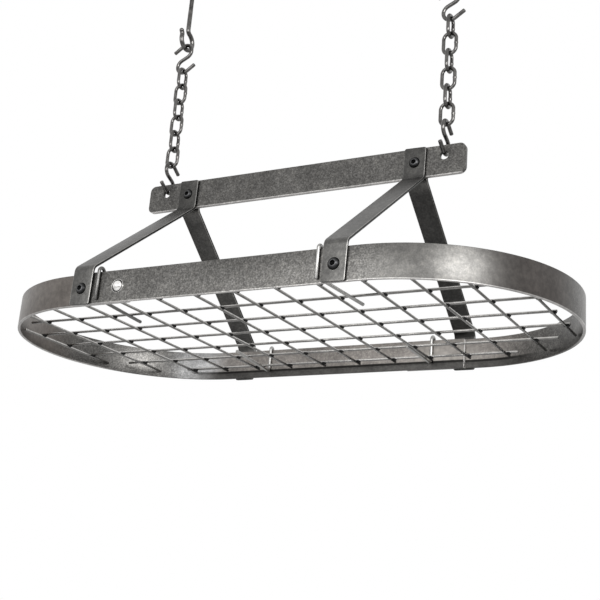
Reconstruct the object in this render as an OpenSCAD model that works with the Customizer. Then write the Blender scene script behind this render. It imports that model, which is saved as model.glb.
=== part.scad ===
// Hanging oval pot rack: a flat-bar oval with a welded wire grid, four bent
// straps, a top bar and two chains that hang from screw hooks in a ceiling.
// Millimetres. Z = 0 is the ceiling face, X runs along the bar, -Y is the front.

/* [Oval frame] */
// Outside length of the oval
oval_len = 718; // [560:1:900]
// Outside width of the oval
oval_w = 358; // [280:1:460]
// Height of the flat bar the oval is bent from
band_h = 38; // [25:0.5:60]
// Thickness of that flat bar
band_t = 3.2; // [2:0.1:6]
// Outside radius of the flat bar's four end corners
band_end_r = 1.5; // [0.5:0.1:4]
// Where the left half's inner lap ends on the front side
lap_front_x = -100; // [-140:1:-60]
// Where the left half's slotted end stops on the back side
lap_back_x = 164.5; // [150:0.5:172]
// Where the right half's outer lap ends on the back side
lap_outer_x = 84; // [60:1:88]
// Distance of the front joint's bright bolt from the middle
joint_front_x = 116.2; // [112:0.1:130]
// Distance of the back joint's bright bolt from the middle
joint_back_x = 100; // [96:0.5:108]

/* [Top bar] */
// Length of the top bar
bar_len = 450; // [380:1:560]
// Height of the top bar
bar_h = 38; // [25:0.5:60]
// Thickness of the top bar
bar_t = 4.8; // [3:0.1:8]
// Corner radius of the top bar
bar_r = 8; // [2:0.5:15]
// Radius of the holes the lower S-hooks pass through
hole_r = 5.5; // [5:0.1:8]
// Height of those holes' centres below the bar's top edge
hole_down = 13; // [10:0.5:20]
// Spacing of the two chains
chain_gap = 396; // [320:1:500]

/* [Straps] */
// Distance of the straps' centres from the middle
strap_x = 161.5; // [130:0.5:200]
// Width of a strap
strap_w = 28; // [18:0.5:40]
// Thickness of a strap
strap_t = 3.2; // [2:0.1:6]
// Inside bend radius of a strap
strap_bend = 8; // [2:0.5:10]
// Height of the lower bend's corner above the oval's bottom edge
strap_low = 43.5; // [40:0.5:60]
// Depth of the lower tab below the oval's bottom edge
strap_drop = 1.2; // [0:0.1:4]
// Lean of the front straps to the left, turned about the bar's bolts
strap_lean = 1.3; // [0:0.1:2]
// Corner radius at the ends of a strap
strap_r = 3; // [1:0.5:8]
// Height of the bar's top edge above the oval's bottom edge
rack_rise = 224.5; // [180:0.5:300]

/* [Wire grid] */
// Spacing of the grid wires
grid_pitch = 50.8; // [40:0.1:65]
// Diameter of the grid wires
grid_d = 3.2; // [3:0.1:6]
// Number of wires that run across the oval
cross_n = 14; // [8:2:18]
// Height of the lengthwise wires' centres above the oval's bottom edge
grid_z = 10.8; // [8:0.1:25]
// Depth the crossing wires are welded into each other
weld = 0.25; // [0.1:0.05:0.6]
// Overhang of the cross wires past the outer lengthwise wire
grid_over = 5.6; // [2:0.1:15]
// Gap between a cut wire end and the curved frame
grid_gap = 1.5; // [1:0.1:10]

/* [Grid supports] */
// Diameter of the bent support rods
rod_d = 4; // [3:0.1:6]
// Height of a rod's outer end above the oval's bottom edge
rod_foot = 5; // [1:0.5:12]
// Distance of the front left support from the middle
rod_front_left = 143.6; // [130:0.1:146]
// Distance of the front right support from the middle
rod_front_right = 138.3; // [130:0.1:139]
// Distance of the back supports from the middle
rod_back_x = 119.6; // [100:0.1:123]
// Distance of the front rods' free ends from the middle of the rack
rod_end_front = 82; // [60:1:95]
// Distance of the back left rod's free end from the middle of the rack
rod_end_back_left = 64; // [60:1:95]
// Distance of the back right rod's free end from the middle of the rack
rod_end_back_right = 88; // [60:1:95]
// Centre-line radius of the bend from leg to rod
rod_bend = 7; // [4:0.5:12]
// Turn of the front left rod in plan, degrees, its free end towards the left
rod_turn_front_left = 5.5; // [0:0.1:7]
// Turn of the front right rod in plan, degrees, its free end towards the right
rod_turn_front_right = 3.2; // [0:0.1:7]
// Turn of the back left rod in plan, degrees, its free end towards the right
rod_turn_back_left = 7; // [0:0.1:7]
// Turn of the back right rod in plan, degrees, its free end towards the right
rod_turn_back_right = 1.8; // [0:0.1:1.8]

/* [Chains and hooks] */
// Distance between the chain links
link_pitch = 23.85; // [18:0.05:32]
// Wire diameter of a chain link
link_d = 4.5; // [3:0.1:6]
// Outside width of a chain link
link_w = 20.5; // [16:0.5:28]
// Wire diameter of the S-hooks
s_d = 5; // [4:0.1:7]
// Centre-line length of an S-hook
s_len = 42.7; // [38:0.1:60]
// Centre-line radius of an S-hook's two bends
s_r = 10.15; // [8:0.05:14]
// Length of an S-hook's straight tips
s_tip = 14; // [6:0.5:20]
// Rise of those tips above the horizontal
s_tip_angle = 33.5; // [20:0.5:60]
// Wire diameter of the ceiling hooks
hook_d = 6.4; // [5:0.1:9]
// Centre-line radius of a ceiling hook's loop
hook_r = 13; // [10:0.5:20]
// Distance from the ceiling face to the loop's top
hook_neck = 26; // [10:1:60]
// Centre-line radius of the bend under the neck
hook_bend = 6; // [4:0.5:10]
// Length of the screw inside the ceiling
screw_len = 34; // [20:1:60]
// Clearance left between pieces that hang in each other
play = 0.15; // [0.05:0.05:0.4]
// Clearance between a lower S-hook and the rim of the bar's hole
hook_room = 0.35; // [0.1:0.05:0.8]

/* [Fasteners] */
// Shank diameter of all the screws and bolts
bolt_d = 8; // [5:0.5:10]
// Diameter of a button head
head_d = 14; // [10:0.5:18]
// Height of a button head
head_h = 4.4; // [3:0.1:6]
// Across-flats size of the hexagon socket
socket_af = 5; // [3:0.5:6]
// Diameter of a bright dome head
dome_d = 16; // [12:0.5:20]
// Height of a bright dome head
dome_h = 4.8; // [3:0.1:7]
// Across-flats size of the nuts behind the top bar
nut_af = 13; // [10:0.5:17]
// Height of those nuts
nut_h = 6.5; // [4:0.5:9]

/* [Hidden] */
$fn = 48;
wire_fn = 16;
eps = 0.01;
// Where a straight piece runs on from a bend it starts a little inside the bend
// and is a hair thinner, so that the two surfaces never lie on each other
lap = 0.3;
slip = 0.02;
chain_x = chain_gap / 2;
r_out = oval_w / 2;                      // outside radius, right half
r_in = r_out - band_t;                   // outside radius, left half
arc_right = oval_len / 2 - r_out;        // centre of the right end's bend
arc_left = r_in - oval_len / 2;          // centre of the left end's bend
bolt_r = bolt_d / 2;
bolt_hole = bolt_r + 0.1;
// S-hook: two equal bends joined by their crossing tangent
s_off = s_len / 2 - s_r;                 // bend centres above and below the middle
s_slope = 90 - asin(s_r / s_off);        // slope of the crossing tangent
s_cross = 2 * sqrt(s_off * s_off - s_r * s_r);
// Heights from the ceiling downwards, all on wire centre lines
hook_c = -hook_neck - hook_r;            // loop centre
s_top = hook_c - hook_r + (hook_d + s_d) / 2 + play;
link_len = link_pitch + link_d + play;   // centre-line length of a link
link_r = (link_w - link_d) / 2;
link_top = s_top - s_len + (s_d + link_d) / 2 + play;
lower_s_top = link_top - 5 * link_pitch - link_len + (s_d + link_d) / 2 + play;
lower_s_c = lower_s_top - s_len + s_r;   // centre of the bend under the bar
hole_z = lower_s_c - sqrt(pow(s_r - s_d / 2 - hook_room, 2) - pow(bar_t / 2, 2)) - hole_r;
bar_top = hole_z + hole_down;
rack_z = bar_top - rack_rise;            // bottom edge of the oval
bar_bolt_z = bar_top - bar_h / 2;
band_bolt_z = rack_z + band_h / 2;
lean_x = (bar_bolt_z - band_bolt_z) * tan(strap_lean); // shift of the front straps' feet
row_z = rack_z + grid_z;                 // lengthwise wires
cross_z = row_z - grid_d + weld;         // cross wires below them
rod_z = row_z - grid_d / 2 - rod_d / 2 - 0.05;
row_half = [334, 334, 306, 241];         // half-lengths of rows 0 to 3

function cut_y(x) =                      // half-length of the cross wire at x
    let (dx = max(abs(x) + grid_d / 2 + arc_left, 0))
    min(3 * grid_pitch + grid_over, sqrt(pow(r_in - band_t, 2) - dx * dx) - grid_gap);

// ---------- helpers ----------

// Wire bend in the XZ plane, centre at the origin, from angle a0 to a1
module bend(r, d, a0, a1) {
    rotate([90, 0, 0]) rotate_extrude(angle = a1 - a0, start = a0, $fn = 40)
        translate([r, 0]) circle(d = d, $fn = wire_fn);
}

// Straight wire in the XZ plane from (x, z) along angle a
module rod(x, z, a, len, d) {
    translate([x, 0, z]) rotate([0, 90 - a, 0]) cylinder(d = d, h = len, $fn = wire_fn);
}

// Hole through everything along Y
module y_hole(x, z, r, y0, y1) {
    translate([x, y1, z]) rotate([90, 0, 0]) cylinder(r = r, h = y1 - y0, $fn = 32);
}

// Rounded rectangle, lower left corner at the origin
module plate(w, h, r) {
    translate([r, 0]) square([w - 2 * r, h]);
    translate([0, r]) square([w, h - 2 * r]);
    for (x = [r, w - r], y = [r, h - r]) translate([x, y]) circle(r, $fn = 32);
}

// Sector of a flat ring between angles a0 and a1, less than 90 degrees apart
module ring(r0, r1, a0, a1) {
    intersection() {
        difference() { circle(r1); circle(r0); }
        polygon([[0, 0], 2 * r1 * [cos(a0), sin(a0)],
            2 * r1 * [cos((a0 + a1) / 2), sin((a0 + a1) / 2)], 2 * r1 * [cos(a1), sin(a1)]]);
    }
}

// ---------- ceiling, S-hooks and chain ----------

// Screw hook in the YZ plane: ringed screw, neck, loop open at the front
module ceiling_hook() {
    b = acos(hook_bend / (hook_r + hook_bend));
    zs = hook_c + (hook_r + hook_bend) * sin(b);
    flare = 8;                           // radius of the turned-out tip
    color("#5a5856") {
        rotate([0, 0, 90]) {
            translate([0, 0, hook_c]) bend(hook_r, hook_d, -190, b);
            translate([hook_bend, 0, zs]) bend(hook_bend, hook_d - slip, 178.5, 181.5 + b);
            translate([-(hook_r + flare) * cos(10), 0, hook_c + (hook_r + flare) * sin(10)]) {
                bend(flare, hook_d - slip, -11.5, 45);
                translate([flare * cos(45), 0, flare * sin(45)])
                    sphere(d = hook_d - 3 * slip, $fn = wire_fn);
            }
        }
        rotate_extrude($fn = 32) polygon(concat(
            [[0, zs], [hook_d / 2, zs], [hook_d / 2, 9]],
            [for (i = [0 : 8], k = [0 : 1]) k == 0
                ? [hook_d / 2 - 0.8, 9.6 + i * 2.2] : [hook_d / 2, 10.7 + i * 2.2]],
            [[hook_d / 2 - 0.8, 9.6 + 9 * 2.2], [0, screw_len]]));
    }
}

// S-hook in the XZ plane, middle at the origin, lower tip towards +X
module s_hook() {
    color("#6d6a66") for (k = [0, 1]) rotate([0, 180 * k, 0]) {
        translate([0, 0, -s_off]) {
            bend(s_r, s_d, 90 + s_slope, 270 + s_tip_angle);
            translate([s_r * sin(s_tip_angle), 0, -s_r * cos(s_tip_angle)])
                rod(-lap * cos(s_tip_angle), -lap * sin(s_tip_angle), s_tip_angle,
                    s_tip + lap, s_d - slip);
        }
    }
    color("#6d6a66") rod(-(s_cross / 2 + lap) * cos(s_slope), -(s_cross / 2 + lap) * sin(s_slope),
        s_slope, s_cross + 2 * lap, s_d - slip);
}

// Chain link in the XZ plane, top of its centre line at the origin
module link() {
    color("#6b6864") {
        translate([0, 0, -link_r]) bend(link_r, link_d, 0, 180);
        translate([0, 0, link_r - link_len]) bend(link_r, link_d, 180, 360);
        for (s = [-1, 1]) rod(s * link_r, link_r - link_len, 90, link_len - 2 * link_r, link_d);
        rod(link_r, -link_len / 2 - 1.2, 90, 2.4, link_d + 0.7);  // weld bead
    }
}

// Link number i of the chain on side s; odd links are turned a quarter
module chain_link(s, i) {
    translate([s * chain_x, 0, link_top - (i - 1) * link_pitch])
        rotate([0, 0, i % 2 == 1 ? 90 : 0]) link();
}

module ceiling_hook_left() { translate([-chain_x, 0, 0]) ceiling_hook(); }
module ceiling_hook_right() { translate([chain_x, 0, 0]) ceiling_hook(); }
module upper_s_hook_left() { translate([-chain_x, 0, s_top - s_len / 2]) s_hook(); }
module upper_s_hook_right() { translate([chain_x, 0, s_top - s_len / 2]) s_hook(); }
module lower_s_hook_left() {
    translate([-chain_x, 0, lower_s_top - s_len / 2]) rotate([0, 0, -90]) s_hook();
}
module lower_s_hook_right() {
    translate([chain_x, 0, lower_s_top - s_len / 2]) rotate([0, 0, -90]) s_hook();
}
module chain_left_1() { chain_link(-1, 1); }
module chain_left_2() { chain_link(-1, 2); }
module chain_left_3() { chain_link(-1, 3); }
module chain_left_4() { chain_link(-1, 4); }
module chain_left_5() { chain_link(-1, 5); }
module chain_left_6() { chain_link(-1, 6); }
module chain_right_1() { chain_link(1, 1); }
module chain_right_2() { chain_link(1, 2); }
module chain_right_3() { chain_link(1, 3); }
module chain_right_4() { chain_link(1, 4); }
module chain_right_5() { chain_link(1, 5); }
module chain_right_6() { chain_link(1, 6); }

// ---------- top bar and straps ----------

module top_bar() {
    color("#5b5753") translate([0, bar_t / 2, 0]) rotate([90, 0, 0]) linear_extrude(bar_t)
        difference() {
            translate([-bar_len / 2, bar_top - bar_h]) plate(bar_len, bar_h, bar_r);
            for (s = [-1, 1]) {
                translate([s * chain_x, hole_z]) circle(hole_r);
                translate([s * strap_x, bar_bolt_z]) circle(bolt_hole, $fn = 32);
            }
        }
}

// Side view of a strap: outwards is +X here, its lower tab stands at x = reach and
// heights count from the oval's bottom edge
module strap_side(reach) {
    x0 = bar_t / 2;                      // bar face
    z1 = strap_low;                      // lower bend
    z2 = rack_rise - bar_h - 2.5;        // upper bend
    a = atan2(z2 - z1, reach - x0);      // slope of the middle part
    t = (strap_bend + strap_t) * tan((90 - a) / 2);
    ri = strap_bend;
    ro = strap_bend + strap_t;
    len = sqrt(pow(reach - x0, 2) + pow(z2 - z1, 2));
    // lower tab
    translate([reach, -strap_drop])
        square([strap_t, z1 + strap_drop - ri * tan((90 - a) / 2)]);
    // upper tab
    translate([x0, z2 + t]) square([strap_t, rack_rise - z2 - t]);
    // lower bend: centre inwards of the tab
    translate([reach - ri, z1 - ri * tan((90 - a) / 2)]) ring(ri, ro, 0, 90 - a);
    // upper bend: centre outwards of the tab
    translate([x0 + ro, z2 + t]) ring(ri, ro, 180, 270 - a);
    // middle part between the two bends
    translate([reach, z1]) rotate(180 - a)
        translate([ri * tan((90 - a) / 2) - lap / 2, -strap_t + slip / 2])
            square([len - ri * tan((90 - a) / 2) - t + lap, strap_t - slip]);
}

// One strap: s = -1 left, 1 right; f = -1 front, 1 back; lean turns it to the left
module strap(s, f, reach, lean = 0) {
    color("#4d4a47") translate([s * strap_x, 0, bar_bolt_z]) rotate([0, lean, 0])
        translate([0, 0, -bar_bolt_z]) difference() {
            translate([0, 0, rack_z]) rotate([90, 0, f * 90])
                translate([0, 0, -strap_w / 2]) linear_extrude(strap_w) strap_side(reach);
            y_hole(0, bar_bolt_z - (bar_bolt_z - band_bolt_z) / cos(lean), bolt_hole,
                f > 0 ? reach - 1 : -reach - strap_t - 1, f > 0 ? reach + strap_t + 1 : -reach + 1);
            y_hole(0, bar_bolt_z, bolt_hole, -bar_t - strap_t, bar_t + strap_t);
            for (c = [-1, 1]) {
                corner_cut(c * strap_w / 2, rack_z - strap_drop, c, -1,
                    f > 0 ? reach - 1 : -reach - strap_t - 1, strap_t + 2);
                corner_cut(c * strap_w / 2, bar_top, c, 1,
                    f > 0 ? bar_t / 2 - 1 : -bar_t / 2 - strap_t - 1, strap_t + 2);
            }
        }
}

// Takes the sharp corner off a tab at (x, z)
module corner_cut(x, z, sx, sz, y, len) {
    translate([x - sx * strap_r, y + len, z - sz * strap_r]) rotate([90, 0, 0])
        linear_extrude(len) difference() {
            translate([sx > 0 ? 0 : -2 * strap_r, sz > 0 ? 0 : -2 * strap_r]) square(2 * strap_r);
            circle(strap_r, $fn = 32);
        }
}

module strap_front_left() { strap(-1, -1, r_out, strap_lean); }
module strap_front_right() { strap(1, -1, r_out, strap_lean); }
module strap_back_left() { strap(-1, 1, r_in); }
module strap_back_right() { strap(1, 1, r_out); }

// ---------- oval frame ----------

// Straight leg of a half with its outer face at y = f * r; it runs from the
// bend at x = root to a free end at x = tip, whose corners are rounded
module leg(root, tip, r, f) {
    s = sign(tip - root);
    translate([0, f > 0 ? r : band_t - r, rack_z]) rotate([90, 0, 0]) linear_extrude(band_t) {
        translate([min(root, tip - s * band_end_r), 0])
            square([abs(tip - root) - band_end_r, band_h]);
        translate([s > 0 ? tip - band_end_r : tip, band_end_r])
            square([band_end_r, band_h - 2 * band_end_r]);
        for (z = [band_end_r, band_h - band_end_r])
            translate([tip - s * band_end_r, z]) circle(band_end_r, $fn = 24);
    }
}

// Half-round end of a half, bent round x = xc
module round_end(xc, r) {
    translate([xc, 0, rack_z])
        rotate_extrude(angle = 180, start = xc > 0 ? -90 : 90, $fn = 96)
            translate([r - band_t, 0]) square([band_t, band_h]);
}

// Left half, inside both laps; its back end is slotted round the strap screw
module frame_left_half() {
    color("#6a635c") difference() {
        union() {
            round_end(arc_left, r_in);
            leg(arc_left - eps, lap_front_x, r_in, -1);
            leg(arc_left - eps, lap_back_x, r_in, 1);
        }
        y_hole(-strap_x - lean_x, band_bolt_z, bolt_hole, -r_out, -r_in + band_t + 1);
        y_hole(-joint_front_x, band_bolt_z, bolt_hole, -r_out, -r_in + band_t + 1);
        y_hole(-strap_x, band_bolt_z, bolt_hole, r_in - band_t - 1, r_out);
        y_hole(joint_back_x, band_bolt_z, bolt_hole, r_in - band_t - 1, r_out);
        y_hole(strap_x, band_bolt_z, bolt_hole, r_in - band_t - 1, r_out);
        translate([strap_x, r_in - band_t - 1, band_bolt_z - bolt_hole])
            cube([20, band_t + 2, 2 * bolt_hole]);
    }
}

// Right half, outside both laps
module frame_right_half() {
    color("#6a635c") difference() {
        union() {
            round_end(arc_right, r_out);
            leg(arc_right + eps, -strap_x - lean_x - strap_w / 2 + 3, r_out, -1);
            leg(arc_right + eps, lap_outer_x, r_out, 1);
        }
        for (x = [-strap_x - lean_x, -joint_front_x, strap_x - lean_x])
            y_hole(x, band_bolt_z, bolt_hole, -r_out - 1, -r_in + 1);
        for (x = [joint_back_x, strap_x])
            y_hole(x, band_bolt_z, bolt_hole, r_in - 1, r_out + 1);
    }
}

// ---------- wire grid and its supports ----------

module grid() {
    color("#8a8782") {
        for (j = [-3 : 3]) translate([-row_half[abs(j)], j * grid_pitch, row_z])
            rotate([0, 90, 0]) cylinder(d = grid_d, h = 2 * row_half[abs(j)], $fn = wire_fn);
        for (i = [0 : cross_n - 1]) let (x = (i - (cross_n - 1) / 2) * grid_pitch)
            translate([x, cut_y(x), cross_z]) rotate([90, 0, 0])
                cylinder(d = grid_d, h = 2 * cut_y(x), $fn = wire_fn);
    }
}

// Bent rod clipped over the frame; r = frame's outer face, t = thickness it spans,
// end = distance of the rod's free end from the middle of the rack
module support(x, f, r, t, end, turn) {
    y1 = -rod_d / 2 - 0.1;               // outer leg, measured inwards from the face
    y2 = t + rod_d / 2 + 0.1;            // inner leg
    zt = rack_z + band_h + 0.1;
    color("#6d6a66") translate([x, f * r, 0]) rotate([0, 0, turn - f * 90]) {
        rod(y1, rack_z + rod_foot, 90, zt - rack_z - rod_foot, rod_d);
        translate([(y1 + y2) / 2, 0, zt]) bend((y2 - y1) / 2, rod_d, 0, 180);
        rod(y2, rod_z + rod_bend, 90, zt - rod_z - rod_bend, rod_d);
        translate([y2 + rod_bend, 0, rod_z + rod_bend]) bend(rod_bend, rod_d, 180, 270);
        rod(y2 + rod_bend, rod_z, 0, r - end - y2 - rod_bend, rod_d);
    }
}

module support_front_left() {
    support(-rod_front_left, -1, r_out, 2 * band_t, rod_end_front, rod_turn_front_left);
}
module support_front_right() {
    support(rod_front_right, -1, r_out, band_t, rod_end_front, -rod_turn_front_right);
}
module support_back_left() {
    support(-rod_back_x, 1, r_in, band_t, rod_end_back_left, rod_turn_back_left);
}
module support_back_right() {
    support(rod_back_x, 1, r_out, 2 * band_t, rod_end_back_right, rod_turn_back_right);
}

// ---------- fasteners ----------

// Spherical cap, base on z = 0
module cap(d, h) {
    rs = (d * d / 4 + h * h) / (2 * h);
    intersection() {
        translate([0, 0, h - rs]) sphere(rs, $fn = 40);
        cylinder(r = d, h = h + 1);
    }
}

// Button-head socket screw, head's base at the origin, shank towards -Z
module button_screw(len) {
    color("#1c1b1b") difference() {
        union() {
            cap(head_d, head_h);
            translate([0, 0, -len]) cylinder(r = bolt_r, h = len + eps, $fn = 32);
        }
        translate([0, 0, head_h - 2.6]) cylinder(d = socket_af / cos(30), h = 4, $fn = 6);
    }
}

module dome_bolt(len) {
    color("#d9d7d2") {
        cap(dome_d, dome_h);
        translate([0, 0, -len]) cylinder(r = bolt_r, h = len + eps, $fn = 32);
    }
}

// Puts a fastener on the face y = f * y, head outwards
module face_on(x, z, f, y) {
    translate([x, f * y, z]) rotate([f > 0 ? -90 : 90, 0, 0]) children();
}

module screw_front_left() {
    face_on(-strap_x - lean_x, band_bolt_z, -1, r_out + strap_t)
        button_screw(strap_t + 2 * band_t - 0.2);
}
module screw_front_right() {
    face_on(strap_x - lean_x, band_bolt_z, -1, r_out + strap_t)
        button_screw(strap_t + band_t - 0.2);
}
module screw_back_left() {
    face_on(-strap_x, band_bolt_z, 1, r_in + strap_t) button_screw(strap_t + band_t - 0.2);
}
module screw_back_right() {
    face_on(strap_x, band_bolt_z, 1, r_out + strap_t) button_screw(strap_t + 2 * band_t - 0.2);
}
module joint_bolt_front() {
    face_on(-joint_front_x, band_bolt_z, -1, r_out) dome_bolt(2 * band_t - 0.2);
}
module joint_bolt_back() {
    face_on(joint_back_x, band_bolt_z, 1, r_out) dome_bolt(2 * band_t - 0.2);
}

module bar_bolt(s) {
    face_on(s * strap_x, bar_bolt_z, -1, bar_t / 2 + strap_t)
        button_screw(bar_t + 2 * strap_t + nut_h + 1.5);
}

// Chamfered hexagon nut behind the back strap's tab
module bar_nut(s) {
    color("#1c1b1b") translate([s * strap_x, bar_t / 2 + strap_t, bar_bolt_z]) rotate([-90, 0, 0])
        difference() {
            intersection() {
                cylinder(d = nut_af / cos(30), h = nut_h, $fn = 6);
                union() {
                    cylinder(d = nut_af * 1.2, h = nut_h - 1);
                    translate([0, 0, nut_h - 1 - eps])
                        cylinder(d1 = nut_af * 1.2, d2 = nut_af * 0.95, h = 1 + eps);
                }
            }
            translate([0, 0, -1]) cylinder(r = bolt_hole, h = nut_h + 2, $fn = 32);
        }
}

module bar_bolt_left() { bar_bolt(-1); }
module bar_bolt_right() { bar_bolt(1); }
module bar_nut_left() { bar_nut(-1); }
module bar_nut_right() { bar_nut(1); }

ceiling_hook_left();
ceiling_hook_right();
upper_s_hook_left();
upper_s_hook_right();
chain_left_1();
chain_left_2();
chain_left_3();
chain_left_4();
chain_left_5();
chain_left_6();
chain_right_1();
chain_right_2();
chain_right_3();
chain_right_4();
chain_right_5();
chain_right_6();
lower_s_hook_left();
lower_s_hook_right();
top_bar();
strap_front_left();
strap_front_right();
strap_back_left();
strap_back_right();
frame_left_half();
frame_right_half();
grid();
support_front_left();
support_front_right();
support_back_left();
support_back_right();
screw_front_left();
screw_front_right();
screw_back_left();
screw_back_right();
joint_bolt_front();
joint_bolt_back();
bar_bolt_left();
bar_bolt_right();
bar_nut_left();
bar_nut_right();
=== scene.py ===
"""Looks of a hanging oval pot rack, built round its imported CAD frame.

Metres, in the CAD frame: z = 0 is the ceiling face, x runs along the top bar,
-y is the front. Every swept piece is a profile carried along a path.
"""

import bpy
import numpy as np
from mathutils import Matrix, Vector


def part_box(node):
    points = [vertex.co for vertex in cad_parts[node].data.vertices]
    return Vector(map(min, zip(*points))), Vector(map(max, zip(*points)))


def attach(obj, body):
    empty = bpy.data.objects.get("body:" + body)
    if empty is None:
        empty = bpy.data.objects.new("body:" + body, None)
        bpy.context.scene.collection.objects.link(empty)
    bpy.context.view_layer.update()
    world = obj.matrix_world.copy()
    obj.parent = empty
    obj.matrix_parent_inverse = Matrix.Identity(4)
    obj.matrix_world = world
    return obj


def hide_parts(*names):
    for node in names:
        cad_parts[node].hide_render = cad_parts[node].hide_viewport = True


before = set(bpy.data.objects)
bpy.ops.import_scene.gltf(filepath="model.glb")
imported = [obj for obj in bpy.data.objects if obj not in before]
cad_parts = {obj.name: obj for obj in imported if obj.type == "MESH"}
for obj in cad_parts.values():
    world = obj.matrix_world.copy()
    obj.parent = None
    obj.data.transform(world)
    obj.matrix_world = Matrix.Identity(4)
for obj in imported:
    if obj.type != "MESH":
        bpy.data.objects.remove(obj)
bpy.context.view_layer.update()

bl_info = {
    "name": "Hanging Pot Rack",
    "version": (1, 0, 0),
    "blender": (4, 5, 0),
    "location": "View3D > Sidebar > Pot Rack",
    "description": "Dresses an oval hanging pot rack in pewter steel",
    "category": "Object",
}

# ------------------ sizes read from the frame

MM = 0.001
SIDES = {"left": -1, "right": 1}
FACES = {"front": -1, "back": 1}


def low(node):
    """Lowest corner of a CAD node, in metres."""
    return np.array(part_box(node)[0])


def high(node):
    """Highest corner of a CAD node, in metres."""
    return np.array(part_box(node)[1])


RACK_Z = low("frame_right_half")[2]  # bottom edge of the oval
BAND_H = high("frame_right_half")[2] - RACK_Z
BAND_MID_Z = RACK_Z + BAND_H / 2
R_OUT = high("frame_right_half")[1]  # outer face of the right half
R_IN = -low("frame_left_half")[1]  # outer face of the left half
BAND_T = R_OUT - R_IN
X_END = high("frame_right_half")[0]  # right extreme of the oval
X_START = low("frame_left_half")[0]  # left extreme of the oval
INNER_LAP_END = high("frame_left_half")[0]  # end of the left half, back
BAR_TOP = high("top_bar")[2]
BAR_LOW = low("top_bar")[2]
BAR_T = high("top_bar")[1] * 2
BAR_BOLT_Z = (BAR_TOP + BAR_LOW) / 2
STRAP_W = high("strap_back_right")[0] - low("strap_back_right")[0]
STRAP_X = (high("strap_back_right")[0] + low("strap_back_right")[0]) / 2
CHAIN_X = (high("chain_right_1")[0] + low("chain_right_1")[0]) / 2

# ------------------ places that the frame's boxes don't give

LAP_FRONT = -100 * MM  # end of the left half's inner lap, front
LAP_OUTER = 84 * MM  # end of the right half's outer lap, back
LAP_CORNER = 1.5 * MM  # corner radius at the halves' free ends
STRAP_CORNER = 2 * MM  # corner radius at a strap's ends
STRAP_CLEARANCE = 2.5 * MM  # from the bar down to the upper bend's corner
ROW_HALF = [334 * MM, 334 * MM, 306 * MM, 241 * MM]  # grid rows' half-lengths, middle first
GRID_CROSS_WIRES = 14
GRID_OVERHANG = 5.6 * MM  # cross wires past the outer rows
GRID_GAP = 1.5 * MM  # from a cut wire end to the curved bar
WELD_SPOT = np.array([2.5, 2.5, 1.3])  # radii of a weld spot, against the wire's
ROD_BEND = 7 * MM  # centre-line radius of a rod's lower bend
ROD_FOOT = 5 * MM  # height of a rod's outer end above the oval's bottom edge
ROD_ROOM = 0.1 * MM  # between a rod and the bar it hangs on
ROD_UNDER_GRID = 0.05 * MM  # between a rod and the row above it
# Supports: place along x, face they hang on, layers of bar there, free end's distance
# from the middle, turn in plan in degrees
SUPPORTS = {
    "support_front_left": (-143.6 * MM, -R_OUT, 2, 82 * MM, 5.5),
    "support_front_right": (138.3 * MM, -R_OUT, 1, 82 * MM, -3.2),
    "support_back_left": (-119.6 * MM, R_IN, 1, 64 * MM, 7),
    "support_back_right": (119.6 * MM, R_OUT, 2, 88 * MM, 1.8),
}
LINKS = 6  # in each chain
BEAD_KNOTS = np.array([0.3, 0.38, 0.46, 0.54, 0.62, 0.7])  # weld rows, in shares of a link's side
BEAD_SWELL = 0.16  # how much thicker the wire is in the bead's middle
BEAD_SPREAD = 1.3 * MM
S_TIP = 14 * MM  # straight tip of an S-hook
S_TIP_ANGLE = 33.5  # its rise, in degrees
SCREW_HEAD_H = 4.4 * MM
JOINT_HEAD_H = 4.8 * MM

WIRE_SIDES = 16
GRID_SIDES = 12
TURNED_SIDES = 36

# ------------------ painted light: 0 painted shade, 0.5 plain, 1 painted highlight

# Round a strap's profile: a painted highlight where a face turns to the edge, painted shade on the
# edge
EDGE_PAINTED_LIGHT = np.array([0.5, 1.0, 0.3, 0.0, 0.0, 0.3, 1.0, 0.5] * 2)
# Painted shade on a strap's end caps
STRAP_END_SHADE = 0.2
# Round a grid wire, whose height goes from -1 to 1: painted shade underneath,
# plain sides and a faint painted highlight on top
UNDER_SHADE, SIDE_TONE, TOP_HIGHLIGHT = 0.12, 0.5, 0.6
UNDER_BELOW, TOP_ABOVE = -0.1, 0.8
# A screw's rings: dark shank and rim, lighter dome, bright lip, dark socket, all painted light:
# painted shade on shank, rim and socket, a painted highlight over dome and lip
HEAD_PAINTED_LIGHT = np.array([0.5, 0.5] + [0.0] * 3 + [0.05, 0.2, 0.3, 0.5, 0.8, 1.0] + [0.0] * 4)
# A joint bolt's rings: plain shank and rim, painted shade in the sunk seat
SEAT_PAINTED_SHADE = np.array([0.5] * 7 + [0.2, 0.0, 0.0])

# ------------------ settings


def length(name, description, millimetres):
    """A size that a user can change, given in millimetres and kept in metres."""
    return bpy.props.FloatProperty(
        name=name, description=description, default=millimetres * MM, unit="LENGTH")


def tint(name, description, red, green, blue):
    """A colour that a user can change."""
    return bpy.props.FloatVectorProperty(
        name=name, description=description, default=(red, green, blue), size=3,
        subtype="COLOR")


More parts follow.
